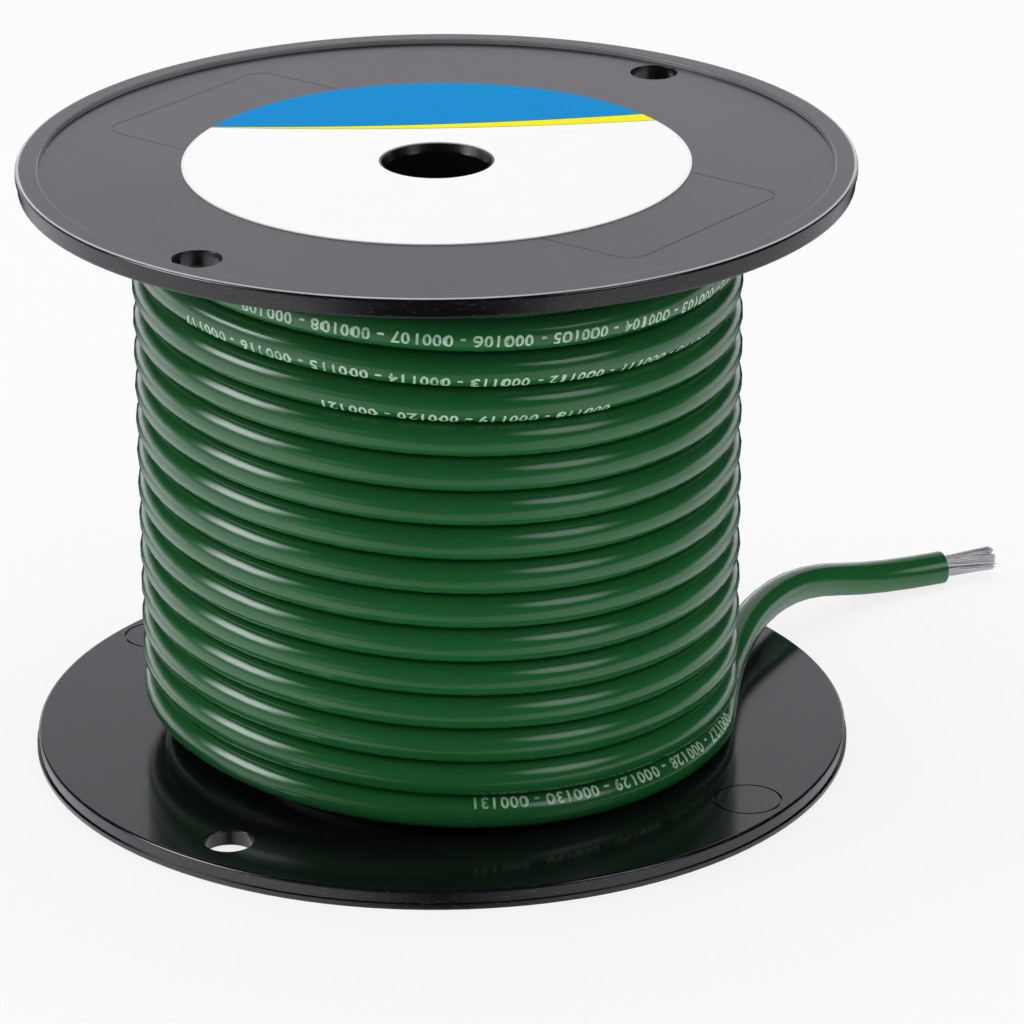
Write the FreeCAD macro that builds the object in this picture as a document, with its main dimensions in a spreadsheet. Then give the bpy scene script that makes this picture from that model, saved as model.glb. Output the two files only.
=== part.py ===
import FreeCAD, Part
import math
import os
from types import SimpleNamespace

import Sketcher

# A six-inch wire spool: two identical moulded flanges, a barrel between them, an arbor tube
# on the flanges' collars, a paper label, and one length of jacketed wire wound in layers.
# The frame is in millimetres, with +Z up the arbor and the origin at the centre of the base.

os.makedirs("parts", exist_ok=True)
doc = FreeCAD.newDocument("wire_spool")

SIZES = {
    "overall_width": (114.3, "over the rims of both flanges"),
    "flange_radius": (76.2, "flange, to the outside of its lip"),
    "rim_depth": (3.8, "flange, from the rim's outer face to the inner face"),
    "rim_band": (4.0, "radial width of the raised rim on the outer face"),
    "face_recess": (0.8, "depth of the outer face below the rim"),
    "lip_depth": (1.2, "height of the lip on the rim's outer edge"),
    "lip_step": (0.35, "how far the lip stands out from the rim's wall"),
    "rim_round": (0.6, "rounding of the lip's outer edge and the inner face's edge"),
    "step_round": (0.25, "rounding of the small steps in the rim"),
    "bore_radius": (9.525, "arbor bore through each flange"),
    "bore_lead": (0.55, "how much wider the bore is at its mouth"),
    "lead_depth": (1.5, "depth of the tapered mouth"),
    "collar_wall": (2.2, "wall of the arbor collar"),
    "collar_length": (10.0, "collar, from the inner face"),
    "tie_hole_radius": (4.4, "hole that holds the wire's end or a drive pin"),
    "tie_hole_inset": (9.525, "tie hole's centre, inwards from the flange's edge"),
    "knockout_radius": (6.15, "closed knock-out, to the middle of its groove"),
    "knockout_inset": (8.3, "knock-out's centre, inwards from the flange's edge"),
    "groove_width": (0.4, "width of the knock-out's groove"),
    "groove_depth": (0.35, "depth of the knock-out's groove"),
    "insert_width": (45.0, "mould insert's outline on the outer face"),
    "insert_inner": (36.0, "nearest line of the insert from the axis"),
    "insert_inset": (15.4, "far line of the insert, inwards from the flange's edge"),
    "insert_line": (0.15, "width of the insert's outline"),
    "insert_depth": (0.08, "depth of the insert's outline"),
    "insert_round": (4.0, "corners of the insert's outline"),
    "spigot_length": (9.0, "tabs that hold the barrel, from the inner face"),
    "spigot_wall": (2.2, "radial thickness of a tab"),
    "spigot_arc": (44.0, "angle that one tab covers, in degrees"),
    "rib_height": (6.0, "ribs between the arbor tube and the tabs"),
    "rib_thickness": (1.8, "thickness of a rib"),
    "barrel_radius": (36.25, "outside of the barrel"),
    "barrel_wall": (2.4, "wall of the barrel"),
    "slot_room": (1.0, "height of the slot that the wire starts in, over the wire's own"),
    "slot_length": (26.0, "length of that slot, straight across"),
    "slot_round": (2.0, "corners of that slot"),
    "arbor_tube_wall": (1.6, "wall of the tube over the collars"),
    "slip": (0.1, "clearance of a sliding fit, on the radius"),
    "label_radius": (46.2, "paper label"),
    "label_hole_gap": (0.425, "from the bore's mouth to the edge of the label's hole"),
    "label_thickness": (0.2, "paper and its glue"),
    "wire_diameter": (6.5, "over the jacket"),
    "winding_slack": (0.05, "room between the barrel and the first layer"),
    "strand_diameter": (0.84, "one bunch of seven fine wires"),
    "strand_pitch": (0.88, "from one bunch to the next"),
    "strip_length": (11.2, "bare conductor beyond the jacket"),
}
LAYERS = 3                   # layers of wire on the barrel
UPPER_CLOCKING = 52.4        # degrees from +X to a tie hole of the upper flange
LOWER_CLOCKING = 55.6        # degrees from +X to a tie hole of the lower flange
TABS = 4                     # spigot tabs on each flange, the first at a tie hole
SLOT_CLOCKING = UPPER_CLOCKING + 135.0   # from +X to the barrel's slot, between two tabs

# The wire's free end: off the last turn, over the rim, down to the standing surface.
FREE_END = [
    (52.0, -5.0, 7.1),
    (54.2, 14.5, 7.6),
    (60.0, 35.0, 10.0),
    (70.5, 53.0, 8.9),
    (86.0, 66.0, 3.3),
    (99.5, 72.2, 3.3),
]
ARC_SHARE = 0.45             # share of the shorter run that an arc's tangent takes


class Size:
    """A length that carries its number and the sheet expression it comes from."""

    def __init__(self, number, text):
        self.number = number
        self.text = text

    def joined(self, other, sign, number):
        text = other.text if isinstance(other, Size) else repr(float(other))
        return Size(number, f"({self.text} {sign} {text})")

    def __add__(self, other):
        return self.joined(other, "+", self.number + number_of(other))

    def __sub__(self, other):
        return self.joined(other, "-", self.number - number_of(other))

    def __mul__(self, other):
        return self.joined(other, "*", self.number * number_of(other))

    def __truediv__(self, other):
        return self.joined(other, "/", self.number / number_of(other))

    def __neg__(self):
        return Size(-self.number, f"(0 - {self.text})")


def number_of(value):
    return value.number if isinstance(value, Size) else float(value)


def fill_sheet():
    """Writes the driving sizes to the sheet and returns them as linked lengths."""
    sheet = doc.addObject("Spreadsheet::Sheet", "Sizes")
    for row, (name, (value, note)) in enumerate(SIZES.items(), start=1):
        sheet.set(f"A{row}", name)
        sheet.set(f"B{row}", str(value))
        sheet.set(f"C{row}", note)
        sheet.setAlias(f"B{row}", name)
    doc.recompute()
    linked = {name: Size(value, f"Sizes.{name}") for name, (value, _) in SIZES.items()}
    return SimpleNamespace(**linked)


size = fill_sheet()
ZERO = Size(0.0, "0")

# Sizes that follow from the driving ones.
bore_mouth = size.bore_radius + size.bore_lead
label_hole = bore_mouth + size.label_hole_gap
tie_circle = size.flange_radius - size.tie_hole_inset
knockout_circle = size.flange_radius - size.knockout_inset
insert_outer = size.flange_radius - size.insert_inset
collar_outside = size.bore_radius + size.collar_wall
rim_inside = size.flange_radius - size.rim_band
rim_wall = size.flange_radius - size.lip_step
barrel_bore = size.barrel_radius - size.barrel_wall
spigot_outside = barrel_bore - size.slip
spigot_inside = spigot_outside - size.spigot_wall
tube_bore = collar_outside + size.slip
tube_outside = tube_bore + size.arbor_tube_wall
upper_face = size.overall_width - size.rim_depth
winding_inside = size.barrel_radius + size.winding_slack
winding_outside = winding_inside + size.wire_diameter * LAYERS
first_turn_height = upper_face - size.wire_diameter / 2


# ---------------------------------------------------------------- drawing and features

def add_body(name):
    body = doc.addObject("PartDesign::Body", name)
    body.Label = name
    return body


def origin_feature(body, role):
    return next(f for f in body.Origin.OriginFeatures if f.Role == role)


def add_sketch(body, name, role, lift=None):
    """A sketch on one of the body's origin planes, raised by lift."""
    sketch = body.newObject("Sketcher::SketchObject", name)
    sketch.AttachmentSupport = (origin_feature(body, role), [""])
    sketch.MapMode = "FlatFace"
    if lift is not None:
        sketch.setExpression("AttachmentOffset.Base.z", lift.text)
    return sketch


def bind(sketch, constraint, value):
    """Adds a constraint and ties its datum to the sheet."""
    index = sketch.addConstraint(constraint)
    sketch.setExpression(f"Constraints[{index}]", value.text)


def pin(sketch, geometry, vertex, x, y):
    """Holds a point at its two distances from the sketch's origin."""
    for kind, value in (("DistanceX", x), ("DistanceY", y)):
        bind(sketch, Sketcher.Constraint(kind, -1, 1, geometry, vertex, value.number), value)


def draw_outline(sketch, corners):
    """A closed outline of straight lines through the corners."""
    points = [FreeCAD.Vector(x.number, y.number, 0) for x, y in corners]
    first = sketch.GeometryCount
    count = len(corners)
    for i, start in enumerate(points):
        sketch.addGeometry(Part.LineSegment(start, points[(i + 1) % count]), False)
    for i, corner in enumerate(corners):
        before = first + (i - 1) % count
        sketch.addConstraint(Sketcher.Constraint("Coincident", before, 2, first + i, 1))
        pin(sketch, first + i, 1, *corner)


def draw_box(sketch, left, right, low, high):
    draw_outline(sketch, [(left, low), (right, low), (right, high), (left, high)])


def draw_circle(sketch, x, y, radius):
    centre = FreeCAD.Vector(x.number, y.number, 0)
    circle = Part.Circle(centre, FreeCAD.Vector(0, 0, 1), radius.number)
    index = sketch.addGeometry(circle, False)
    pin(sketch, index, 3, x, y)
    bind(sketch, Sketcher.Constraint("Radius", index, radius.number), radius)


def revolve(body, name, corners, angle=None):
    """Turns an outline of radius and height about the body's Z axis."""
    sketch = add_sketch(body, name + "_outline", "XZ_Plane")
    draw_outline(sketch, corners)
    turned = body.newObject("PartDesign::Revolution", name)
    turned.Profile = sketch
    turned.ReferenceAxis = (sketch, ["V_Axis"])
    turned.Angle = 360
    if angle is not None:
        turned.setExpression("Angle", angle.text)
        turned.Midplane = True
    doc.recompute()
    return turned


def pocket(body, name, sketch, depth=None, upward=False):
    """Cuts a sketch into the body, through it all where no depth is given."""
    before = body.Shape.Volume
    cut = body.newObject("PartDesign::Pocket", name)
    cut.Profile = sketch
    cut.Reversed = upward
    if depth is None:
        cut.Type = "ThroughAll"
    else:
        cut.setExpression("Length", depth.text)
    doc.recompute()
    if not body.Shape.Volume < before - 1e-6:
        raise RuntimeError(f"{name} cuts nothing")


def round_edges(body, name, radius, wanted):
    """Rounds the edges of the body that the test picks."""
    base = body.Tip
    names = [f"Edge{i}" for i, edge in enumerate(base.Shape.Edges, start=1) if wanted(edge)]
    if not names:
        raise RuntimeError(f"{name} finds no edge")
    rounded = body.newObject("PartDesign::Fillet", name)
    rounded.Base = (base, names)
    rounded.setExpression("Radius", radius.text)
    doc.recompute()


def is_ring(radius, heights):
    """A test for full circles of that radius at any of those heights."""
    def test(edge):
        curve = edge.Curve
        if not isinstance(curve, Part.Circle) or len(edge.Vertexes) != 1:
            return False
        level = any(abs(curve.Center.z - z.number) < 1e-3 for z in heights)
        return level and abs(curve.Radius - radius.number) < 1e-3
    return test


def is_upright(reach, height):
    """A test for straight edges of that height along Z, that far to either side in X."""
    def test(edge):
        if not isinstance(edge.Curve, Part.Line) or abs(edge.Length - height.number) > 1e-3:
            return False
        start, end = (v.Point for v in edge.Vertexes)
        level = abs(abs(start.z - end.z) - height.number) < 1e-3
        return level and abs(abs(start.x) - reach.number) < 1e-3
    return test


# ---------------------------------------------------------------- flanges

def make_flange(name, clocking, turned_over):
    """One moulded flange, outer face down in its own frame, tie holes along its X axis."""
    body = add_body(name)
    collar_end = size.rim_depth + size.collar_length
    revolve(body, name + "_disc", [
        (bore_mouth, size.face_recess),
        (rim_inside, size.face_recess),
        (rim_inside, ZERO),
        (size.flange_radius, ZERO),
        (size.flange_radius, size.lip_depth),
        (rim_wall, size.lip_depth),
        (rim_wall, size.rim_depth),
        (collar_outside, size.rim_depth),
        (collar_outside, collar_end),
        (size.bore_radius, collar_end),
        (size.bore_radius, size.face_recess + size.lead_depth),
    ])
    round_edges(body, name + "_lip_round", size.rim_round,
                is_ring(size.flange_radius, [ZERO]))
    round_edges(body, name + "_inner_round", size.rim_round,
                is_ring(rim_wall, [size.rim_depth]))
    round_edges(body, name + "_band_round", size.step_round,
                is_ring(rim_inside, [ZERO]))
    add_spigot(body, name)
    add_face_details(body, name)
    turn = FreeCAD.Rotation(FreeCAD.Vector(0, 0, 1), clocking)
    if turned_over:
        turn = turn * FreeCAD.Rotation(FreeCAD.Vector(1, 0, 0), 180)
    body.Placement = FreeCAD.Placement(FreeCAD.Vector(0, 0, 0), turn)
    if turned_over:
        body.setExpression("Placement.Base.z", size.overall_width.text)


def add_spigot(body, name):
    """Tabs that the barrel slides over, each braced by a rib outside the arbor tube."""
    tab = revolve(body, name + "_tab", [
        (spigot_inside, size.rim_depth),
        (spigot_outside, size.rim_depth),
        (spigot_outside, size.rim_depth + size.spigot_length),
        (spigot_inside, size.rim_depth + size.spigot_length),
    ], angle=size.spigot_arc)
    rib_sketch = add_sketch(body, name + "_rib_outline", "XZ_Plane")
    draw_box(rib_sketch, tube_outside + size.slip, spigot_inside + size.spigot_wall / 2,
             size.rim_depth, size.rim_depth + size.rib_height)
    rib = body.newObject("PartDesign::Pad", name + "_rib")
    rib.Profile = rib_sketch
    rib.Midplane = True
    rib.setExpression("Length", size.rib_thickness.text)
    doc.recompute()
    tabs = body.newObject("PartDesign::PolarPattern", name + "_tabs")
    tabs.Originals = [tab, rib]
    tabs.Axis = (origin_feature(body, "Z_Axis"), [""])
    tabs.Angle = 360
    tabs.Occurrences = TABS
    body.Tip = tabs
    doc.recompute()


def add_face_details(body, name):
    """Tie holes through the disc, closed knock-outs inside, insert lines outside."""
    holes = add_sketch(body, name + "_tie_circles", "XY_Plane", lift=size.rim_depth)
    rings = add_sketch(body, name + "_knockout_circles", "XY_Plane", lift=size.rim_depth)
    frames = add_sketch(body, name + "_insert_frames", "XY_Plane", lift=size.face_recess)
    half = size.insert_width / 2
    line = size.insert_line
    groove = size.groove_width / 2
    for side in (1, -1):
        draw_circle(holes, tie_circle * side, ZERO, size.tie_hole_radius)
        middle = knockout_circle * side
        draw_circle(rings, ZERO, middle, size.knockout_radius + groove)
        draw_circle(rings, ZERO, middle, size.knockout_radius - groove)
        draw_box(frames, -half, half, size.insert_inner * side, insert_outer * side)
        draw_box(frames, line - half, half - line,
                 (size.insert_inner + line) * side, (insert_outer - line) * side)
    pocket(body, name + "_tie_holes", holes)
    round_edges(body, name + "_hole_round", size.step_round,
                is_ring(size.tie_hole_radius, [size.rim_depth, size.face_recess]))
    pocket(body, name + "_knockouts", rings, depth=size.groove_depth)
    pocket(body, name + "_inserts", frames, depth=size.insert_depth, upward=True)
    round_edges(body, name + "_insert_outer_round", size.insert_round,
                is_upright(half, size.insert_depth))
    round_edges(body, name + "_insert_inner_round", size.insert_round - line,
                is_upright(half - line, size.insert_depth))


# ---------------------------------------------------------------- barrel and arbor tube

def make_barrel():
    """The tube that the wire is wound on, with the slot that the wire starts in."""
    body = add_body("barrel")
    revolve(body, "barrel_wall", [
        (barrel_bore, size.rim_depth),
        (size.barrel_radius, size.rim_depth),
        (size.barrel_radius, upper_face),
        (barrel_bore, upper_face),
    ])
    slot = add_sketch(body, "slot_outline", "XZ_Plane")
    reach = size.slot_length / 2
    rise = (size.wire_diameter + size.slot_room) / 2
    draw_box(slot, -reach, reach, first_turn_height - rise, first_turn_height + rise)
    pocket(body, "start_slot", slot, depth=size.barrel_radius * 2)
    low_corner = (first_turn_height - rise).number

    def is_slot_corner(edge):
        if not isinstance(edge.Curve, Part.Line):
            return False
        along = edge.Curve.Direction
        return abs(abs(along.y) - 1) < 1e-6 and abs(edge.BoundBox.ZMin - low_corner) < 1e-3

    round_edges(body, "slot_rounds", size.slot_round, is_slot_corner)
    turn = FreeCAD.Rotation(FreeCAD.Vector(0, 0, 1), SLOT_CLOCKING - 90)
    body.Placement = FreeCAD.Placement(FreeCAD.Vector(0, 0, 0), turn)


def make_arbor_tube():
    """The tube over both collars, so that a rod runs straight from flange to flange."""
    body = add_body("arbor_tube")
    revolve(body, "arbor_tube_wall", [
        (tube_bore, size.rim_depth),
        (tube_outside, size.rim_depth),
        (tube_outside, upper_face),
        (tube_bore, upper_face),
    ])


# ---------------------------------------------------------------- label

def make_label():
    """The round paper label on the upper flange's recessed face."""
    body = add_body("label")
    face = size.overall_width - size.face_recess
    revolve(body, "label_paper", [
        (label_hole, face),
        (size.label_radius, face),
        (size.label_radius, face + size.label_thickness),
        (label_hole, face + size.label_thickness),
    ])


# ---------------------------------------------------------------- wire

def make_winding():
    """The wound layers, as one ring with the outer turns' rounding at its corners."""
    body = add_body("wire_winding")
    revolve(body, "winding_ring", [
        (winding_inside, size.rim_depth),
        (winding_outside, size.rim_depth),
        (winding_outside, upper_face),
        (winding_inside, upper_face),
    ])
    round_edges(body, "winding_round", size.wire_diameter / 2,
                is_ring(winding_outside, [size.rim_depth, upper_face]))


def rounded_path(points):
    """Straight runs joined by tangent arcs, with each arc's radius."""
    corners = [FreeCAD.Vector(*p) for p in points]
    edges, radii = [], []
    start = corners[0]
    for before, corner, after in zip(corners, corners[1:], corners[2:]):
        back, ahead = before - corner, after - corner
        tangent = ARC_SHARE * min(back.Length, ahead.Length)
        back.normalize()
        ahead.normalize()
        half_turn = (math.pi - back.getAngle(ahead)) / 2
        radius = tangent / math.tan(half_turn)
        middle = back + ahead
        middle.normalize()
        arc_start, arc_end = corner + back * tangent, corner + ahead * tangent
        crest = corner + middle * (radius / math.cos(half_turn) - radius)
        edges.append(Part.LineSegment(start, arc_start).toShape())
        edges.append(Part.Arc(arc_start, crest, arc_end).toShape())
        radii.append(radius)
        start = arc_end
    edges.append(Part.LineSegment(start, corners[-1]).toShape())
    return Part.Wire(edges), radii


def aimed(point, direction):
    """A placement at a point, with its Z axis along a direction."""
    turn = FreeCAD.Rotation(FreeCAD.Vector(0, 0, 1), direction)
    return FreeCAD.Placement(point, turn)


def make_free_end():
    """The jacketed wire from the winding to its stripped end."""
    wire, radii = rounded_path(FREE_END)
    print("free end: arc radii", [round(r, 1) for r in radii])
    path = doc.addObject("Part::Feature", "free_end_path")
    path.Shape = wire
    section = doc.addObject("Part::Circle", "free_end_section")
    section.setExpression("Radius", (size.wire_diameter / 2).text)
    start, second = (FreeCAD.Vector(*p) for p in FREE_END[:2])
    section.Placement = aimed(start, second - start)
    tube = doc.addObject("Part::Sweep", "free_end_tube")
    tube.Sections = [section]
    tube.Spine = (path, [f"Edge{i}" for i in range(1, len(wire.Edges) + 1)])
    tube.Solid = True
    side = doc.addObject("Part::Cylinder", "winding_side")
    side.setExpression("Radius", winding_outside.text)
    side.setExpression("Height", size.overall_width.text)
    free_end = doc.addObject("Part::Cut", "wire_free_end")
    free_end.Label = "wire_free_end"
    free_end.Base = tube
    free_end.Tool = side
    doc.recompute()
    round_section = math.pi * (size.wire_diameter.number / 2) ** 2
    print("free end: volume", round(tube.Shape.Volume, 1),
          "section times length", round(round_section * wire.Length, 1))


def make_strands():
    """The bare conductor: one bunch in the middle, six round it and twelve outside."""
    last, end = (FreeCAD.Vector(*p) for p in FREE_END[-2:])
    lay = aimed(end, end - last)
    pitch = size.strand_pitch
    bunches = []
    for row in range(-2, 3):
        for column in range(5 - abs(row)):
            bunch = doc.addObject("Part::Cylinder", f"bunch_{len(bunches) + 1}")
            bunch.setExpression("Radius", (size.strand_diameter / 2).text)
            bunch.setExpression("Height", size.strip_length.text)
            x = pitch * (column - (4 - abs(row)) / 2)
            y = pitch * (row * math.sqrt(3) / 2)
            place = FreeCAD.Placement(FreeCAD.Vector(x.number, y.number, 0),
                                      FreeCAD.Rotation())
            bunch.Placement = lay.multiply(place)
            bunches.append(bunch)
    strands = doc.addObject("Part::Compound", "wire_strands")
    strands.Label = "wire_strands"
    strands.Links = bunches
    doc.recompute()


# ---------------------------------------------------------------- the whole spool

make_flange("upper_flange", UPPER_CLOCKING, turned_over=True)
make_flange("lower_flange", LOWER_CLOCKING, turned_over=False)
make_barrel()
make_arbor_tube()
make_label()
make_winding()
make_free_end()
make_strands()
doc.recompute()

NODES = ["upper_flange", "lower_flange", "barrel", "arbor_tube", "label",
         "wire_winding", "wire_free_end", "wire_strands"]

for item in doc.Objects:
    if "Invalid" in item.State or "Error" in item.State:
        raise RuntimeError(f"{item.Name} failed: {item.State}")

shapes = {name: doc.getObjectsByLabel(name)[0].Shape for name in NODES}
for name, shape in shapes.items():
    if shape.isNull() or not shape.isValid() or not shape.Solids:
        raise RuntimeError(f"{name} has no valid solid")

for name, shape in shapes.items():
    shape.exportStep(f"parts/{name}.step")
    box = shape.BoundBox
    print(f"{name}: {len(shape.Solids)} solid(s), {shape.Volume / 1000:.2f} cm3, "
          f"X {box.XMin:.2f} {box.XMax:.2f}, Y {box.YMin:.2f} {box.YMax:.2f}, "
          f"Z {box.ZMin:.2f} {box.ZMax:.2f}")
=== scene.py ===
import math
import random

import bpy
from bpy.props import FloatProperty, FloatVectorProperty, IntProperty, PointerProperty
from bpy.types import Operator, Panel, PropertyGroup
from mathutils import Matrix, Vector


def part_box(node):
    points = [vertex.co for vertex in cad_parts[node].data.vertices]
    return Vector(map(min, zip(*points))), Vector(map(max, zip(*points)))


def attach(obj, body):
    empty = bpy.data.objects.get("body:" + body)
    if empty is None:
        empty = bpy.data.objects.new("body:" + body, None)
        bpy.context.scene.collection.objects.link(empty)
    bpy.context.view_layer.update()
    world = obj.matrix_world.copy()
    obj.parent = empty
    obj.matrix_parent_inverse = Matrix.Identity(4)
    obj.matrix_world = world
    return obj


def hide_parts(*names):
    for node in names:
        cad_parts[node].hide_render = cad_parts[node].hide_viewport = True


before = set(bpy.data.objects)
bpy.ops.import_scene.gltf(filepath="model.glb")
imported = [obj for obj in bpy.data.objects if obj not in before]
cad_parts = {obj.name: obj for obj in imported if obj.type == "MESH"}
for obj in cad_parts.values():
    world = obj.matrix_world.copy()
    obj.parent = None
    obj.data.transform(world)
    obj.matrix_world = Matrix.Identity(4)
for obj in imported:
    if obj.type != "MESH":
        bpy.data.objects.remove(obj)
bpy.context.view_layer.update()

bl_info = {
    "name": "Wire spool",
    "version": (1, 0, 0),
    "blender": (4, 5, 0),
    "location": "View3D > Sidebar > Spool",
    "description": "Winds the wire on the spool, strips its end and finishes each surface",
    "category": "Object",
}

MM = 0.001

# Places that come from the frame.
LOWER_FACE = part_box("wire_winding")[0].z          # inner face of the lower flange
WINDING_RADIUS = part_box("wire_winding")[1].x      # outside of the last layer
LABEL_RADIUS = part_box("label")[1].x
FLANGE_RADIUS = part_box("lower_flange")[1].x
SPOOL_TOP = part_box("upper_flange")[1].z
RIM_BAND = 4.0 * MM                              # width of the raised rim on the outer faces

# How the wire lies on the barrel. Angles are in degrees about the arbor, from the front (-Y)
# towards +X, and the wire is wound that way round in every layer.
DROP_START = -92.5           # where a turn leaves its own level
DROP_SPAN = 135.0            # and how far round it takes to reach the next level
TURN_START = DROP_START + DROP_SPAN
FIRST_ANGLE = -52.0          # the first point on the winding, where the wire's start joins it
LAST_ANGLE = 72.5            # the last point on the winding, where the free end leaves
CLEARANCE = 0.05 * MM        # between the lowest turn and the lower flange
FLANGE_ROOM = 2.0 * MM       # turns nearer to their lowest place than this lie level

# The second layer's first turn stands out where the last layer leaves room for it.
BULGE = 3.4 * MM
BULGE_ANGLE = -80.0
BULGE_SPREAD = 28.0          # degrees either side

# The wire's start, from inside the barrel out through its slot: radius and angle.
START = [(0.0270, -112.0), (0.0315, -100.0), (0.0370, -76.0)]

# The wire's free end: off the last turn, over the rim, down to the standing surface.
FREE_END = [
    (0.0524, -0.0008, 0.0071),
    (0.0545, 0.0160, 0.0076),
    (0.0600, 0.0350, 0.0100),
    (0.0705, 0.0530, 0.0089),
    (0.0860, 0.0660, 0.0033),
    (0.0995, 0.0722, 0.0033),
]


# ---------------------------------------------------------------- settings

def length(name, text, value):
    return FloatProperty(name=name, description=text, default=value, unit="LENGTH",
                         subtype="DISTANCE", precision=5)


def share(name, text, value):
    return FloatProperty(name=name, description=text, default=value, min=0.0, max=1.0,
                         subtype="FACTOR")


def count(name, text, value):
    return IntProperty(name=name, description=text, default=value, min=1)


def colour(name, text, value):
    return FloatVectorProperty(name=name, description=text, default=value, size=3,
                               min=0.0, max=1.0, subtype="COLOR")


class WireSettings(PropertyGroup):
    diameter: length("Diameter", "Over the jacket", 6.5 * MM)
    pitch: length("Pitch", "From one turn to the next along the barrel", 6.51 * MM)
    layers: count("Layers", "Layers of wire on the barrel", 3)
    rows: count("Rows", "Turns in each layer", 16)
    points: count("Points", "Points of the wire's line in each turn", 16)
    unevenness: length("Unevenness", "How far the turns wander from their places", 0.05 * MM)
    jacket: colour("Jacket", "Vinyl jacket", (0.0098, 0.084, 0.0215))
    ink: colour("Ink", "Length marks on the jacket", (0.36, 0.50, 0.38))
    mark_height: length("Mark height", "Height of the length marks", 2.15 * MM)


class StrandSettings(PropertyGroup):
    strand_diameter: length("Strand", "One fine wire", 0.283 * MM)
    bare_length: length("Bare length", "Conductor beyond the jacket", 11.2 * MM)
    metal: colour("Metal", "Tinned copper", (0.80, 0.79, 0.78))


class PlasticSettings(PropertyGroup):
    colour: colour("Colour", "Moulded black styrene", (0.0045, 0.0045, 0.0052))
    worn: colour("Worn", "Edges and specks of dust", (0.10, 0.10, 0.105))
    # Painted highlight: the pale colour painted along the rims' lip and recess step, in place
    # of the light that their roundings catch.
    edge: colour("Edge", "Polished edges of the rim", (0.68, 0.68, 0.70))
    satin: share("Satin", "Roughness of the outer faces", 0.26)
    gloss: share("Gloss", "Roughness of the inner faces", 0.13)


class LabelSettings(PropertyGroup):
    paper: colour("Paper", "Coated paper", (0.93, 0.93, 0.93))
    field: colour("Field", "Printed field", (0.0, 0.262, 0.631))
    stripe: colour("Stripe", "Printed stripe", (0.98, 0.86, 0.01))


class StageSettings(PropertyGroup):
    floor: colour("Floor", "Studio floor", (0.88, 0.88, 0.88))
    glow: share("Glow", "How far the floor's own white hides its shading", 0.80)
    fill: share("Fill", "Even light from all round", 0.62)


class SpoolSettings(PropertyGroup):
    wire: PointerProperty(type=WireSettings)
    strands: PointerProperty(type=StrandSettings)
    plastic: PointerProperty(type=PlasticSettings)
    label: PointerProperty(type=LabelSettings)
    stage: PointerProperty(type=StageSettings)


# ---------------------------------------------------------------- shader trees

class Value:
    """A number in a shader tree. Plain arithmetic on it adds the Math nodes."""

    def __init__(self, recipe, socket):
        self.recipe = recipe
        self.socket = socket

    def maths(self, operation, first, second=None):
        inputs = {0: first} if second is None else {0: first, 1: second}
        return self.recipe.node("ShaderNodeMath", {"operation": operation}, inputs)

    def __add__(self, other):
        return self.maths("ADD", self, other)

    def __radd__(self, other):
        return self.maths("ADD", other, self)

    def __sub__(self, other):
        return self.maths("SUBTRACT", self, other)

    def __rsub__(self, other):
        return self.maths("SUBTRACT", other, self)

    def __mul__(self, other):
        return self.maths("MULTIPLY", self, other)

    def __rmul__(self, other):
        return self.maths("MULTIPLY", other, self)

    def __pow__(self, other):
        return self.maths("POWER", self, other)

    def __abs__(self):
        return self.maths("ABSOLUTE", self)

    def above(self, edge, softness):
        """0 below the edge and 1 above it, with a soft step that wide."""
        steps = {1: edge - softness / 2, 2: edge + softness / 2, 3: 0.0, 4: 1.0}
        return self.recipe.node("ShaderNodeMapRange", {"interpolation_type": "SMOOTHSTEP"},
                                {0: self, **steps})

    def below(self, edge, softness):
        return 1 - self.above(edge, softness)


class Recipe:
    """A shader tree, and the one way to add a node to it."""

    def __init__(self, tree):
        self.tree = tree

    def node(self, kind, settings=None, inputs=None, output=0):
        """Adds a node, with its settings first and then its sockets' values or links."""
        node = self.tree.nodes.new(kind)
        for name, value in (settings or {}).items():
            setattr(node, name, value)
        for name, value in (inputs or {}).items():
            self.feed(node.inputs[name], value)
        return Value(self, node.outputs[output])

    def feed(self, socket, value):
        if isinstance(value, Value):
            self.tree.links.new(value.socket, socket)
        else:
            socket.default_value = value

    def axes(self, place):
        """The X, Y and Z of a point or direction."""
        split = self.node("ShaderNodeSeparateXYZ", inputs={0: place})
        return [Value(self, output) for output in split.socket.node.outputs]

    def mix(self, amount, first, second):
        """A colour between two others."""
        def rgba(value):
            return value if isinstance(value, Value) else (*value, 1.0)
        return self.node("ShaderNodeMix", {"data_type": "RGBA"},
                         {0: amount, 6: rgba(first), 7: rgba(second)}, output=2)

    def choose(self, amount, first, second):
        """A number between two others."""
        return self.node("ShaderNodeMix", {"data_type": "FLOAT"},
                         {0: amount, 2: first, 3: second})


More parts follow.
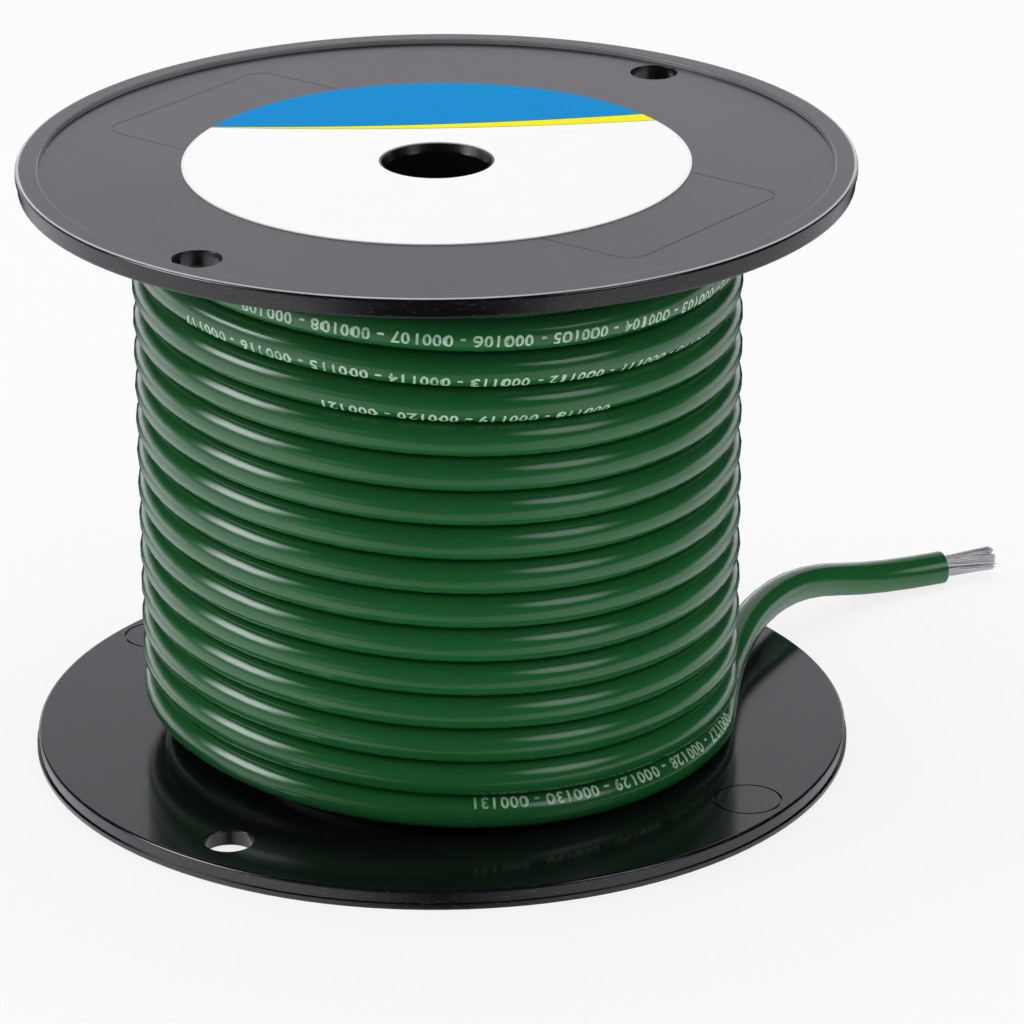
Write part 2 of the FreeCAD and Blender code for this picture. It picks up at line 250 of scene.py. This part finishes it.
class Finish(Recipe):
    """One material and the nodes that feed its Principled shader."""

    def __init__(self, name):
        self.material = bpy.data.materials.new(name)
        self.material.use_nodes = True
        super().__init__(self.material.node_tree)
        self.shader = self.tree.nodes["Principled BSDF"]
        self.place = self.node("ShaderNodeTexCoord", output="Object")

    def set(self, **sockets):
        """Sets the shader's sockets; an underscore in a name stands for a space."""
        for name, value in sockets.items():
            self.feed(self.shader.inputs[name.replace("_", " ")], value)

    def noise(self, size, detail=3.0, roughness=0.55, stretch=None):
        """Noise from 0 to 1 whose lumps are about that long."""
        where = self.place
        if stretch is not None:
            where = self.node("ShaderNodeVectorMath", {"operation": "MULTIPLY"},
                              {0: self.place, 1: stretch})
        return self.node("ShaderNodeTexNoise", inputs={
            "Vector": where, "Scale": 1 / size, "Detail": detail, "Roughness": roughness})

    def specks(self, spacing, radius, share_kept):
        """Small round dots, one in each cell of that size, kept in a share of the cells."""
        cells = self.node("ShaderNodeTexVoronoi", inputs={
            "Vector": self.place, "Scale": 1 / spacing, "Randomness": 1.0})
        names = Value(self, cells.socket.node.outputs["Color"])
        picked = self.node("ShaderNodeSeparateColor", inputs={0: names})
        dot = cells.below(radius / spacing, 0.5 * radius / spacing)
        return dot * picked.above(1 - share_kept, 0.01)

    def bump(self, height, depth, strength=1.0):
        """A surface raised by the height, from 0 to 1, times the depth."""
        self.set(Normal=self.node("ShaderNodeBump", inputs={
            "Strength": strength, "Distance": depth, "Height": height}))


# ---------------------------------------------------------------- finishes

def styrene_finish(plastic, name, turn):
    """Moulded black styrene: satin outside, glossy on the face that the wire touches, with a
    painted highlight along the rims' lip and step.
    """
    finish = Finish(name)
    x, y, z = finish.axes(finish.place)
    half = SPOOL_TOP / 2
    height = abs(z - half)
    outer = height.above(half * 0.965, half * 0.01)
    cloud = finish.noise(34 * MM, detail=4.0)
    grain = finish.noise(0.35 * MM, detail=2.0)
    radius = (x * x + y * y) ** 0.5
    rim = radius.above(FLANGE_RADIUS - 0.9 * MM, 0.3 * MM)
    rubs = finish.noise(1.6 * MM, detail=5.0, stretch=(1.0, 1.0, 4.0)).above(0.62, 0.10)
    dust = finish.specks(5.5 * MM, 0.16 * MM, 0.30)
    lint = finish.noise(0.9 * MM, stretch=(math.cos(turn), math.sin(turn), 0.2))
    lint = lint.above(0.79, 0.02)
    base = finish.mix(0.35 * cloud, plastic.colour, [c * 1.7 for c in plastic.colour])
    # The lip's top edge and the recess step's edge are painted in the pale edge colour. This is
    # a painted highlight, the same all round, that stands in for the light their roundings
    # catch.
    face = height.above(half - 0.16 * MM, 0.10 * MM)
    lip = face * abs(radius - FLANGE_RADIUS + 0.46 * MM).below(0.20 * MM, 0.12 * MM)
    step = abs(radius - FLANGE_RADIUS + RIM_BAND).below(0.11 * MM, 0.12 * MM)
    base = finish.mix(0.16 * rim * rubs, base, plastic.worn)
    painted_highlight = (0.8 * lip + 0.4 * step) * outer * (0.4 + 0.9 * cloud)
    base = finish.mix(painted_highlight, base, plastic.edge)
    base = finish.mix(0.8 * dust + 0.25 * lint, base, plastic.worn)
    rough = plastic.gloss + (plastic.satin - plastic.gloss) * outer
    rough = rough + 0.10 * (cloud - 0.5) + 0.05 * (grain - 0.5) + 0.25 * dust - 0.11 * rim
    finish.set(Base_Color=base, Roughness=rough, IOR=1.54)
    finish.bump(0.7 * grain + 0.3 * cloud + 0.5 * dust, 0.02 * MM, 0.45)
    return finish.material


def label_finish(label):
    """Coated paper with a printed field across its far part and a stripe along the field."""
    finish = Finish("label_print")
    x, y, _ = finish.axes(finish.place)
    radius = (x * x + y * y) ** 0.5
    fibre = finish.noise(0.5 * MM, detail=4.0)
    mottle = finish.noise(11 * MM, detail=2.0)
    # The stripe's near edge is a shallow bow, and the stripe widens towards +X.
    along = x * (1 / LABEL_RADIUS)
    line = 18.6 * MM + 3.4 * MM * along * along + 1.9 * MM * along
    width = 2.4 * MM + 2.2 * MM * along
    above = y - line
    paper = finish.mix(0.5 * mottle, label.paper, [c * 0.97 for c in label.paper])
    edge = radius.above(LABEL_RADIUS - 0.5 * MM, 0.5 * MM)
    paper = finish.mix(0.35 * edge * fibre, paper, (0.55, 0.54, 0.52))
    stripe = finish.mix(0.25 * fibre, label.stripe, [c * 0.8 for c in label.stripe])
    field = finish.mix(0.35 * fibre, label.field, [c * 0.86 for c in label.field])
    inked = above.above(0.0, 0.06 * MM)
    past = (above - width).above(0.0, 0.06 * MM)
    off_near_rule = abs(above).above(0.13 * MM, 0.05 * MM)
    off_far_rule = abs(above - width).above(0.16 * MM, 0.05 * MM)
    ruled = 1 - off_near_rule * off_far_rule
    colour = finish.mix(inked, paper, stripe)
    colour = finish.mix(past, colour, field)
    colour = finish.mix(0.9 * ruled, colour, (0.02, 0.05, 0.03))
    finish.set(Base_Color=colour, Roughness=0.34 + 0.12 * mottle + 0.05 * fibre, IOR=1.06)
    finish.bump(0.5 * fibre + 0.5 * mottle, 0.03 * MM, 0.25)
    return finish.material


def jacket_finish(wire, name):
    """Smooth extruded vinyl: fine grain, faint flow lines, dust and a little scuffing."""
    finish = Finish(name)
    cloud = finish.noise(26 * MM, detail=3.0)
    grain = finish.noise(0.30 * MM, detail=2.0, roughness=0.7)
    flow = finish.noise(1.1 * MM, detail=3.0, stretch=(0.12, 0.12, 1.0))
    scuff = finish.noise(5.5 * MM, detail=6.0, roughness=0.7).above(0.66, 0.10)
    dust = finish.specks(4.2 * MM, 0.11 * MM, 0.22)
    base = finish.mix(cloud, [c * 0.84 for c in wire.jacket], [c * 1.16 for c in wire.jacket])
    base = finish.mix(0.10 * scuff * flow, base, (0.10, 0.22, 0.12))
    base = finish.mix(0.45 * dust, base, (0.16, 0.30, 0.18))
    rough = 0.11 + 0.05 * cloud + 0.04 * flow + 0.10 * scuff + 0.06 * (grain - 0.5)
    finish.set(Base_Color=base, Roughness=rough, IOR=1.52)
    finish.bump(0.6 * grain + 0.4 * flow, 0.016 * MM, 0.5)
    return finish.material


def ink_finish(wire):
    """White marking ink, thin enough for the jacket to show through in places."""
    finish = Finish("marking_ink")
    thin = finish.noise(0.45 * MM, detail=4.0).above(0.52, 0.20)
    gone = finish.noise(3.0 * MM, detail=3.0).above(0.60, 0.15)
    base = finish.mix(0.35 * thin + 0.45 * gone, wire.ink, [c * 2.2 for c in wire.jacket])
    finish.set(Base_Color=base, Roughness=0.34 + 0.1 * thin, IOR=1.5)
    finish.bump(thin, 0.01 * MM, 0.3)
    return finish.material


def cut_jacket_finish(wire):
    """The torn edge of the vinyl where it was stripped, paler than the jacket."""
    finish = Finish("cut_jacket")
    crumb = finish.noise(0.4 * MM, detail=4.0)
    pale = [min(1.0, 4 * c + 0.05) for c in wire.jacket]
    base = finish.mix(crumb, wire.jacket, pale)
    finish.set(Base_Color=base, Roughness=0.45 + 0.2 * crumb, IOR=1.5)
    finish.bump(crumb, 0.06 * MM, 0.6)
    return finish.material


def tinned_finish(strands):
    """Bright tinned copper with the dull patches that handling leaves."""
    finish = Finish("tinned_copper")
    patch = finish.noise(1.6 * MM, detail=3.0)
    draw = finish.noise(0.10 * MM, detail=2.0)
    base = finish.mix(patch, [c * 0.80 for c in strands.metal], strands.metal)
    finish.set(Base_Color=base, Roughness=0.22 + 0.14 * patch + 0.05 * draw, Metallic=1.0)
    finish.bump(draw, 0.004 * MM, 0.4)
    return finish.material


# ---------------------------------------------------------------- modelling helpers

def settings():
    return bpy.context.scene.spool


def deselect():
    bpy.ops.object.select_all(action="DESELECT")


def make_active(piece):
    deselect()
    piece.select_set(True)
    bpy.context.view_layer.objects.active = piece


def finish_piece(piece, name, material):
    """Names a finished piece, gives it its material and lets it ride on the spool."""
    piece.name = name
    piece.data.name = name
    piece.data.materials.clear()
    piece.data.materials.append(material)
    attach(piece, "root")


def paint_node(node, material):
    """Gives a CAD node a finish in place of its plain one."""
    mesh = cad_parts[node].data
    mesh.materials.clear()
    mesh.materials.append(material)


def join(pieces):
    """Joins the pieces into the first of them."""
    make_active(pieces[0])
    for piece in pieces:
        piece.select_set(True)
    bpy.ops.object.join()
    return pieces[0]


def smoothstep(t):
    t = min(max(t, 0.0), 1.0)
    return t * t * (3 - 2 * t)


def polar(radius, angle, height):
    """A point at that angle from the front, in degrees."""
    turn = math.radians(angle)
    return Vector((radius * math.sin(turn), -radius * math.cos(turn), height))


# ---------------------------------------------------------------- the wound wire

class Winding:
    """Where the wire runs on the barrel, turn after turn and layer after layer."""

    def __init__(self, wire):
        self.diameter = wire.diameter
        self.rows = wire.rows
        self.turns = wire.rows * wire.layers
        self.pitch = wire.pitch
        self.first_radius = WINDING_RADIUS - wire.diameter * (wire.layers - 0.5)
        self.lowest = LOWER_FACE + wire.diameter / 2 + CLEARANCE
        self.unevenness = wire.unevenness
        rng = random.Random(8)
        self.phases = [rng.uniform(0, 2 * math.pi) for _ in range(self.turns + 2)]

    def seat(self, turn):
        """Radius and height of a turn's own level; every other layer runs back up."""
        turn = min(max(turn, 0), self.turns - 1)
        layer, step = divmod(turn, self.rows)
        row = step if layer % 2 else self.rows - 1 - step
        return self.first_radius + self.diameter * layer, self.lowest + self.pitch * row

    def at(self, angle):
        """Radius and height of the wire at an angle counted on from the first turn."""
        turn, share_done = divmod((angle - TURN_START) / 360, 1)
        turn = int(turn)
        here, there = self.seat(turn), self.seat(turn + 1)
        moved = smoothstep((share_done * 360 - (360 - DROP_SPAN)) / DROP_SPAN)
        radius, height = (a + (b - a) * moved for a, b in zip(here, there))
        wave = math.sin(2 * math.radians(angle) + self.phases[max(turn, 0)])
        inside = math.sin(math.pi * share_done)
        above_flange = height > self.lowest + FLANGE_ROOM
        height += self.unevenness * wave * inside * above_flange
        radius += self.bulge(turn, angle)
        return radius, height

    def bulge(self, turn, angle):
        """The second layer's first turn, which the last layer leaves standing out."""
        if turn != self.rows:
            return 0.0
        off = angle - 360 * (self.rows + 1) - BULGE_ANGLE
        return BULGE * math.exp(-(off / BULGE_SPREAD) ** 2)


def wire_line(wire):
    """The points of the wire's line: its start, every turn, and the free end."""
    winding = Winding(wire)
    top = winding.seat(0)[1]
    points = [polar(radius, angle, top) for radius, angle in START]
    last = 360 * (winding.turns - 1) + LAST_ANGLE
    steps = round((last - FIRST_ANGLE) / 360 * wire.points)
    outwards = 1 / math.cos(math.pi / wire.points)
    for i in range(steps + 1):
        angle = FIRST_ANGLE + (last - FIRST_ANGLE) * i / steps
        radius, height = winding.at(angle)
        points.append(polar(radius * outwards, angle, height))
    return points + [Vector(p) for p in FREE_END]


def add_line(name, points):
    """A curve object with one smooth open spline over the points."""
    curve = bpy.data.curves.new(name, "CURVE")
    curve.dimensions = "3D"
    spline = curve.splines.new("NURBS")
    spline.points.add(len(points) - 1)
    for slot, point in zip(spline.points, points):
        slot.co = (*point, 1.0)
    spline.order_u = 3
    spline.use_endpoint_u = True
    curve.resolution_u = 4
    piece = bpy.data.objects.new(name, curve)
    bpy.context.scene.collection.objects.link(piece)
    return piece


class SPOOL_OT_wire(Operator):
    """Winds the wire on the barrel in layers, with its free end over the rim"""
    bl_idname = "spool.wire"
    bl_label = "Wire"

    def execute(self, context):
        wire = settings().wire
        piece = add_line("wire", wire_line(wire))
        piece.data.bevel_depth = wire.diameter / 2
        piece.data.bevel_resolution = 8
        piece.data.use_fill_caps = True
        finish_piece(piece, "wire", jacket_finish(wire, "green_vinyl"))
        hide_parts("wire_winding", "wire_free_end")
        return {"FINISHED"}


# ---------------------------------------------------------------- marks along the wire

class Route:
    """The wire's smooth centreline, measured from its curve."""

    def __init__(self, curve):
        bare = bpy.data.objects.new("bare_line", curve.copy())
        bare.data.bevel_depth = 0.0
        mesh = bpy.data.meshes.new_from_object(bare)
        self.points = [v.co.copy() for v in mesh.vertices]
        bpy.data.meshes.remove(mesh)
        bpy.data.curves.remove(bare.data)
        self.angles = [0.0]
        for a, b in zip(self.points, self.points[1:]):
            step = math.atan2(a.x * b.y - a.y * b.x, a.x * b.x + a.y * b.y)
            self.angles.append(self.angles[-1] + math.degrees(step))
        start = self.points[0]
        shift = math.degrees(math.atan2(start.x, -start.y))
        self.angles = [a + shift for a in self.angles]

    def surface(self, angle, tilt, radius):
        """A point on the jacket: round the arbor by the angle, up its side by the tilt."""
        low, high = 0, len(self.angles) - 1
        while high - low > 1:
            middle = (low + high) // 2
            low, high = (middle, high) if self.angles[middle] <= angle else (low, middle)
        span = self.angles[high] - self.angles[low]
        here = self.points[low].lerp(self.points[high], (angle - self.angles[low]) / span)
        along = (self.points[high] - self.points[low]).normalized()
        out = Vector((here.x, here.y, 0)).normalized()
        out = (out - along * out.dot(along)).normalized()
        up = out.cross(along)
        return here + out * (radius * math.cos(tilt)) + up * (radius * math.sin(tilt))


FIGURE_SHARE = 0.7           # a figure's height as a share of the font's size
FIGURE_SPACING = 1.08        # from figure to figure, against the font's own
FIGURE_WEIGHT = 0.034        # how far the strokes are thickened, as a share of the height
FIGURE_BANDS = 5


def mark_text(first, marks):
    """Length marks, six figures each, with a dash between them."""
    return " - ".join(f"{first + i:06d}" for i in range(marks))


def add_marks(name, text, height):
    """Flat figures as a mesh, cut into narrow bands so that they can follow the jacket."""
    deselect()
    bpy.ops.object.text_add()
    piece = bpy.context.object
    piece.data.body = text
    piece.data.size = height / FIGURE_SHARE
    piece.data.resolution_u = 3
    piece.data.space_character = FIGURE_SPACING
    piece.data.offset = FIGURE_WEIGHT * height
    bpy.ops.object.convert(target="MESH")
    bpy.ops.object.mode_set(mode="EDIT")
    for i in range(1, FIGURE_BANDS):
        bpy.ops.mesh.select_all(action="SELECT")
        bpy.ops.mesh.bisect(plane_co=(0, height * i / FIGURE_BANDS, 0), plane_no=(0, 1, 0))
    bpy.ops.mesh.select_all(action="SELECT")
    bpy.ops.mesh.quads_convert_to_tris()
    bpy.ops.object.mode_set(mode="OBJECT")
    piece.name = name
    return piece


class SPOOL_OT_marks(Operator):
    """Prints the plain length marks along the turns where they show"""
    bl_idname = "spool.marks"
    bl_label = "Length marks"

    # First mark, how many, the turn counted from the last, the angle where the figures
    # start, and the tilt up the jacket's side there and where they end.
    RUNS = (
        (101, 9, 14, 92.0, -22.0, -2.0),
        (110, 8, 13, 62.0, -46.0, -20.0),
        (118, 4, 12, 34.0, -48.0, -38.0),
        (127, 5, 0, 76.0, 40.0, 48.0),
    )

    STRETCH = 1.04               # the figures' width against the font's own
    INK_DEPTH = 0.025 * MM

    def execute(self, context):
        wire = settings().wire
        route = Route(bpy.data.objects["wire"].data)
        lift = wire.diameter / 2 + self.INK_DEPTH
        last = 360 * (wire.rows * wire.layers - 1)
        runs = []
        for i, (first, many, back, start, tilt, tilt_end) in enumerate(self.RUNS):
            piece = add_marks(f"marks_{i + 1}", mark_text(first, many), wire.mark_height)
            for v in piece.data.vertices:
                v.co.x *= self.STRETCH
            long = max(v.co.x for v in piece.data.vertices)
            ring = math.radians(1) * (WINDING_RADIUS - wire.diameter / 2)
            for v in piece.data.vertices:
                angle = last - 360 * back + start - v.co.x / ring
                middle = math.radians(tilt + (tilt_end - tilt) * v.co.x / long)
                side = middle - (v.co.y - wire.mark_height / 2) / (wire.diameter / 2)
                v.co = route.surface(angle, side, lift)
            runs.append(piece)
        marks = join(runs)
        bpy.ops.object.mode_set(mode="EDIT")
        bpy.ops.mesh.select_all(action="SELECT")
        bpy.ops.mesh.remove_doubles(threshold=1e-6)
        bpy.ops.object.mode_set(mode="OBJECT")
        finish_piece(marks, "length_marks", ink_finish(wire))
        return {"FINISHED"}


# ---------------------------------------------------------------- the stripped end

def end_frame():
    """Where the jacket ends, with Z along the wire and Y upwards."""
    last, end = Vector(FREE_END[-2]), Vector(FREE_END[-1])
    along = (end - last).normalized()
    side = along.cross(Vector((0, 0, 1))).normalized()
    turn = Matrix((side, side.cross(along) * -1, along)).transposed().to_4x4()
    return Matrix.Translation(end) @ turn


def bunch_places(pitch):
    """Centres of the bunches: one, six round it and twelve outside."""
    places = []
    for row in range(-2, 3):
        for column in range(5 - abs(row)):
            x = pitch * (column - (4 - abs(row)) / 2)
            places.append((x, pitch * row * math.sqrt(3) / 2))
    return places


def add_strand(strand, long, cuts):
    """One straight fine wire up Z, with rings of points to bend it at."""
    inside = 0.6 * MM            # how far it starts inside the jacket
    deselect()
    bpy.ops.mesh.primitive_circle_add(vertices=6, radius=strand / 2, fill_type="NGON",
                                      location=(0, 0, -inside))
    piece = bpy.context.object
    bpy.ops.object.transform_apply(location=True)
    bpy.ops.object.mode_set(mode="EDIT")
    for _ in range(cuts):
        bpy.ops.mesh.select_all(action="DESELECT")
        bpy.ops.object.mode_set(mode="OBJECT")
        top = max(v.co.z for v in piece.data.vertices)
        for face in piece.data.polygons:
            face.select = all(piece.data.vertices[i].co.z > top - 1e-7 for i in face.vertices)
        bpy.ops.object.mode_set(mode="EDIT")
        step = (0, 0, (long + inside) / cuts)
        bpy.ops.mesh.extrude_region_move(TRANSFORM_OT_translate={"value": step})
    bpy.ops.object.mode_set(mode="OBJECT")
    return piece


class SPOOL_OT_strands(Operator):
    """Bares the conductor: bunches of fine tinned wires, twisted and slightly splayed"""
    bl_idname = "spool.strands"
    bl_label = "Strands"

    BUNCH_PITCH = 3.06           # from bunch to bunch, in fine wires' diameters
    TOUCHING = 1.01              # from wire to wire in a bunch, in diameters
    STRAYS = 0.06                # share of the fine wires that stand out
    LAY = 0.42                   # turn of the twist over the bare length, in radians
    WAVE = 0.05 * MM             # how far a fine wire waves along its length

    def execute(self, context):
        strands = settings().strands
        thin, long = strands.strand_diameter, strands.bare_length
        model = add_strand(thin, long, 7)
        place = end_frame()
        rng = random.Random(3)
        pieces = []
        for bx, by in bunch_places(self.BUNCH_PITCH * thin):
            bunch_lay = rng.uniform(-0.5, 0.9)
            for ring in range(7):
                round_bunch = ring * math.pi / 3
                off = thin * self.TOUCHING if ring else 0.0
                x, y = bx + off * math.cos(round_bunch), by + off * math.sin(round_bunch)
                out = math.hypot(x, y)
                start = math.atan2(y, x)
                stray = rng.random() < self.STRAYS
                splay = rng.uniform(0.12, 0.26) + (0.12 if stray else 0.0)
                lay = self.LAY + 0.10 * bunch_lay + rng.uniform(-0.06, 0.06)
                lay += 0.35 if stray else 0.0
                reach = 1 + rng.uniform(-0.035, 0.02) + (rng.uniform(0, 0.06) if stray else 0)
                wobble = rng.uniform(0, 2 * math.pi)
                copy = model.copy()
                copy.data = model.data.copy()
                bpy.context.scene.collection.objects.link(copy)
                for v in copy.data.vertices:
                    up = v.co.z * reach
                    t = max(up, 0.0) / long
                    turn = start + lay * t
                    far = out * (1 + splay * t * t)
                    far += self.WAVE * t * math.sin(5 * t + wobble)
                    v.co = place @ Vector((v.co.x + far * math.cos(turn),
                                           v.co.y + far * math.sin(turn), up))
                pieces.append(copy)
        bpy.data.objects.remove(model)
        bundle = join(pieces)
        bpy.ops.object.shade_smooth_by_angle(angle=math.radians(65))
        finish_piece(bundle, "strands", tinned_finish(strands))
        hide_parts("wire_strands")
        return {"FINISHED"}


class SPOOL_OT_cut(Operator):
    """Leaves the torn lip of vinyl round the conductor where the jacket was stripped"""
    bl_idname = "spool.cut"
    bl_label = "Cut jacket"

    LIP_RADIUS = 2.62 * MM
    LIP_THICKNESS = 0.34 * MM
    RAGS = 48                    # raised and sunk places round the lip

    def execute(self, context):
        wire = settings().wire
        deselect()
        bpy.ops.mesh.primitive_torus_add(major_segments=self.RAGS, minor_segments=8,
                                         major_radius=self.LIP_RADIUS,
                                         minor_radius=self.LIP_THICKNESS / 2)
        piece = bpy.context.object
        rng = random.Random(5)
        rags = [rng.uniform(0.5, 1.7) for _ in range(self.RAGS)]
        place = end_frame()
        for v in piece.data.vertices:
            turn = math.atan2(v.co.y, v.co.x) % (2 * math.pi)
            rag = rags[int(turn / (2 * math.pi) * self.RAGS) % self.RAGS]
            v.co = place @ Vector((v.co.x, v.co.y, v.co.z * rag))
        bpy.ops.object.modifier_add(type="SUBSURF")
        piece.modifiers[-1].levels = piece.modifiers[-1].render_levels = 1
        bpy.ops.object.modifier_apply(modifier=piece.modifiers[-1].name)
        bpy.ops.object.shade_smooth()
        finish_piece(piece, "torn_lip", cut_jacket_finish(wire))
        curve = bpy.data.objects["wire"]
        exit_point = polar(*START[0], curve.data.splines[0].points[0].co.z)
        return {"FINISHED"}


# ---------------------------------------------------------------- spool and label

class SPOOL_OT_plastic(Operator):
    """Finishes the two flanges, the barrel and the arbor tube"""
    bl_idname = "spool.plastic"
    bl_label = "Plastic"

    # Each moulding, and which way the lint lies on it, in radians.
    LINT_TURNS = {"upper_flange": 0.4, "lower_flange": 1.9, "barrel": 0.0, "arbor_tube": 0.0}

    def execute(self, context):
        plastic = settings().plastic
        for node, turn in self.LINT_TURNS.items():
            paint_node(node, styrene_finish(plastic, node + "_styrene", turn))
        return {"FINISHED"}


class SPOOL_OT_label(Operator):
    """Prints the plain field and stripe on the paper label"""
    bl_idname = "spool.label"
    bl_label = "Label"

    def execute(self, context):
        paint_node("label", label_finish(settings().label))
        return {"FINISHED"}


# ---------------------------------------------------------------- stage

def add_softbox(name, place, width, height, radiance):
    """An area lamp that shines on the spool's middle as brightly as that radiance."""
    lamp = bpy.data.lights.new(name, "AREA")
    lamp.shape = "RECTANGLE"
    lamp.size, lamp.size_y = width, height
    lamp.energy = radiance * math.pi * width * height
    piece = bpy.data.objects.new(name, lamp)
    bpy.context.scene.collection.objects.link(piece)
    aim = (Vector((0, 0, SPOOL_TOP / 2)) - Vector(place)).to_track_quat("-Z", "Y")
    piece.matrix_world = Matrix.Translation(place) @ aim.to_matrix().to_4x4()
    piece.visible_glossy = False


def floor_finish(stage):
    """A pale floor: white to the eye, with the soft shadow kept, and open to reflections."""
    finish = Finish("floor_paper")
    grain = finish.noise(0.02, detail=2.0)
    finish.set(Base_Color=finish.mix(0.2 * grain, stage.floor, [c * 0.98 for c in stage.floor]),
               Roughness=0.9)
    rays = finish.node("ShaderNodeLightPath").socket.node.outputs
    scattered = Value(finish, rays["Is Diffuse Ray"])
    glow = finish.node("ShaderNodeEmission", inputs={
        "Color": (1, 1, 1, 1), "Strength": 1 + 0.9 * scattered})
    clear = finish.node("ShaderNodeBsdfTransparent")
    lit = finish.node("ShaderNodeMixShader", inputs={
        0: stage.glow * Value(finish, rays["Is Camera Ray"]) + 0.8 * scattered,
        1: Value(finish, finish.shader.outputs[0]), 2: glow})
    mirrored = finish.node("ShaderNodeMixShader", inputs={
        0: Value(finish, rays["Is Glossy Ray"]) + Value(finish, rays["Is Transmission Ray"]),
        1: lit, 2: clear})
    finish.feed(finish.tree.nodes["Material Output"].inputs["Surface"], mirrored)
    return finish.material


def studio_reflections(sky, x, y, z):
    """What polished surfaces mirror, by direction: two soft boxes, a pale wall behind the
    spool, the pale table round it, its far edge and a faint glow from the left."""
    side = abs(x)
    behind = (0.5 * y - side).above(0.0, 0.14)
    wall = behind * z.above(-0.02, 0.10) * z.below(0.84, 0.26)
    wall = wall * (1.0 - 0.28 * z.above(0.37, 0.08))
    horizon = 1.2 * y.above(0.30, 0.40) * abs(z + 0.04).below(0.12, 0.10)
    across = abs(0.208 * x - 0.978 * y)
    left_box = across.below(0.25, 0.28) * abs(z - 0.46).below(0.19, 0.16) * x.below(-0.3, 0.1)
    right_box = (0.687 * x - 0.481 * y + 0.545 * z).above(0.966, 0.05)
    near = (z - 0.45 * side).below(-0.51, 0.20)
    table = near * (0.44 + 0.62 * side.above(0.45, 0.60) - 0.20 * x)
    glow = x.below(-0.45, 0.40) * abs(z - 0.06).below(0.17, 0.16)
    return wall + horizon + 9.0 * left_box + 2.4 * right_box + table + 0.55 * glow


def light_world(stage):
    """Even light from all round, white to the eye, and the studio in the reflections."""
    world = bpy.data.worlds.new("studio")
    bpy.context.scene.world = world
    world.use_nodes = True
    sky = Recipe(world.node_tree)
    x, y, z = sky.axes(sky.node("ShaderNodeTexCoord", output="Generated"))
    rays = sky.node("ShaderNodeLightPath").socket.node.outputs
    mirrored = Value(sky, rays["Is Glossy Ray"]) + Value(sky, rays["Is Transmission Ray"])
    strength = sky.choose(mirrored, stage.fill, studio_reflections(sky, x, y, z))
    strength = sky.choose(Value(sky, rays["Is Camera Ray"]), strength, 1.0)
    tint = sky.mix(mirrored, (0.99, 0.99, 1.0), (0.985, 0.965, 1.04))
    sky.feed(sky.tree.nodes["Background"].inputs["Color"], tint)
    sky.feed(sky.tree.nodes["Background"].inputs["Strength"], strength)


class SPOOL_OT_stage(Operator):
    """Sets up the floor, the soft lamps, the pale surroundings and the camera"""
    bl_idname = "spool.stage"
    bl_label = "Stage"

    # Each lamp's place, width, height and radiance.
    LAMPS = {
        "left_box": ((-0.84, -0.09, 0.47), 0.50, 0.32, 4.0),
        "right_box": ((0.62, -0.43, 0.60), 0.40, 0.30, 2.0),
        "high_box": ((-0.05, 0.35, 1.20), 1.2, 0.9, 1.5),
    }
    CAMERA_PLACE = (0.01335, -0.94072, 0.42568)
    CAMERA_DOWN = 22.0384        # degrees below level
    CAMERA_ROLL = -0.2493        # degrees
    CAMERA_LENS = 192.06

    def execute(self, context):
        stage = settings().stage
        deselect()
        bpy.ops.mesh.primitive_grid_add(x_subdivisions=8, y_subdivisions=8, size=8.0)
        floor = bpy.context.object
        floor.name = "floor"
        floor.data.materials.append(floor_finish(stage))
        for name, lamp in self.LAMPS.items():
            add_softbox(name, *lamp)
        light_world(stage)
        context.scene.view_settings.view_transform = "Standard"
        camera = bpy.data.cameras.new("camera")
        camera.lens = self.CAMERA_LENS
        camera.sensor_width = 36.0
        piece = bpy.data.objects.new("camera", camera)
        context.scene.collection.objects.link(piece)
        piece.matrix_world = (Matrix.Translation(self.CAMERA_PLACE)
                              @ Matrix.Rotation(math.radians(90 - self.CAMERA_DOWN), 4, "X")
                              @ Matrix.Rotation(math.radians(self.CAMERA_ROLL), 4, "Z"))
        context.scene.camera = piece
        return {"FINISHED"}


# ---------------------------------------------------------------- panel and main

OPERATORS = (SPOOL_OT_stage, SPOOL_OT_wire, SPOOL_OT_strands, SPOOL_OT_cut, SPOOL_OT_marks,
             SPOOL_OT_plastic, SPOOL_OT_label)


class SPOOL_PT_panel(Panel):
    """The spool's pieces, in the order that they are made"""
    bl_label = "Wire spool"
    bl_idname = "SPOOL_PT_panel"
    bl_space_type = "VIEW_3D"
    bl_region_type = "UI"
    bl_category = "Spool"

    def draw(self, context):
        for operator in OPERATORS:
            self.layout.operator(operator.bl_idname)


CLASSES = (WireSettings, StrandSettings, PlasticSettings, LabelSettings, StageSettings,
           SpoolSettings, *OPERATORS, SPOOL_PT_panel)


def register():
    for cls in CLASSES:
        bpy.utils.register_class(cls)
    bpy.types.Scene.spool = PointerProperty(type=SpoolSettings)


def unregister():
    del bpy.types.Scene.spool
    for cls in reversed(CLASSES):
        bpy.utils.unregister_class(cls)


def main():
    register()
    for operator in OPERATORS:
        group, name = operator.bl_idname.split(".")
        getattr(getattr(bpy.ops, group), name)()


if __name__ == "__main__":
    main()
